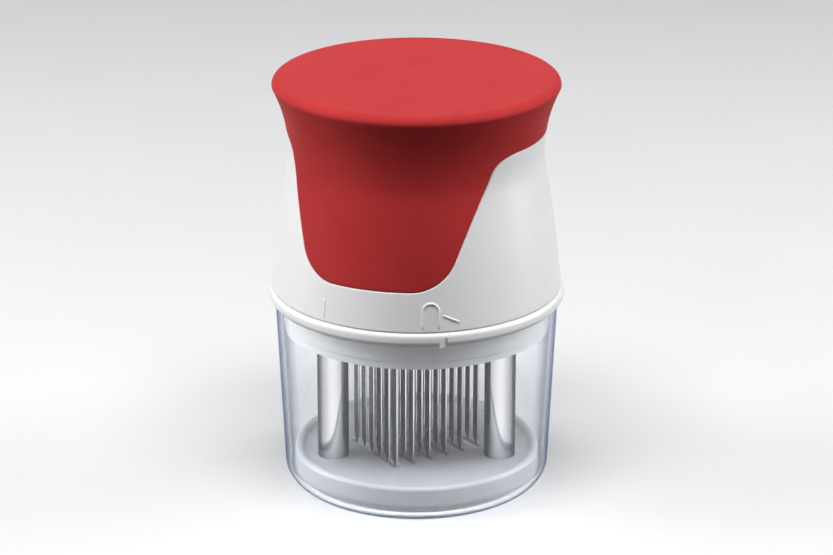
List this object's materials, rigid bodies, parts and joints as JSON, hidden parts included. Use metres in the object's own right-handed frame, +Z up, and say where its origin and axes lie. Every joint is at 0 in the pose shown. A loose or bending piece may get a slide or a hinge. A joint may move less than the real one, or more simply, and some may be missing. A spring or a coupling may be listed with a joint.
{
  "type": "blade meat tenderizer",
  "caption": "Round palm-pressed meat tenderizer: flared soft grip, conical housing, strips of thin blades, a sprung guard plate on guide posts, and a clear storage cup.",
  "frame": {"origin": "centre of the storage cup's base, on the surface the object stands on", "axes": "+Z up along the axis of the tool; the two guide posts stand at -X and +X; -Y is the front, with the lock mark"},
  "size_m": [0.098, 0.098, 0.14],
  "materials": {
    "soft_red": "soft-touch satin, fine grain",
    "white_plastic": "smooth moulded, satin gloss",
    "guard_plastic": "smooth moulded, satin gloss",
    "clear_plastic": "clear, polished",
    "inner_plastic": "moulded, matt",
    "bush_plastic": "natural acetal, matt",
    "chrome": "polished",
    "blade_steel": "stainless, fine rolled, ground points",
    "spring_steel": "drawn wire",
    "screw_steel": "stainless"
  },
  "bodies": {
    "cup": {"cup": "clear_plastic"},
    "blade_unit": {"blade_carrier": "white_plastic", "blade_strip_1": "blade_steel", "blade_strip_2": "blade_steel", "blade_strip_3": "blade_steel", "blade_strip_4": "blade_steel", "blade_strip_5": "blade_steel", "blade_strip_6": "blade_steel", "spring_frame": "inner_plastic", "frame_screws": "screw_steel", "post_bush_left": "bush_plastic", "post_bush_right": "bush_plastic", "return_spring_left": "spring_steel", "return_spring_right": "spring_steel", "spring_cap_left": "inner_plastic", "spring_cap_right": "inner_plastic"},
    "guard_unit": {"guard_plate": "guard_plastic", "guide_post_left": "chrome", "guide_post_right": "chrome", "stop_ring_left": "screw_steel", "stop_ring_right": "screw_steel", "post_screws": "screw_steel"},
    "housing_unit": {"housing": "white_plastic", "grip": "soft_red", "cap_core": "inner_plastic", "cap_screws": "screw_steel"}
  },
  "joints": [
    {"name": "lift_out", "type": "slide", "parent": "cup", "child": "blade_unit", "axis": [0, 0, 1], "range_m": [0, 0.075]},
    {"name": "guard_slide", "type": "slide", "parent": "blade_unit", "child": "guard_unit", "axis": [0, 0, 1], "range_m": [0, 0.032], "stiffness_N_per_m": 500, "springref_m": -0.02, "deforming": ["return_spring_left", "return_spring_right"]},
    {"name": "lock_turn", "type": "hinge", "parent": "blade_unit", "child": "housing_unit", "pos_m": [0, 0, 0.0689], "axis": [0, 0, 1], "range_deg": [0, 45]}
  ]
}
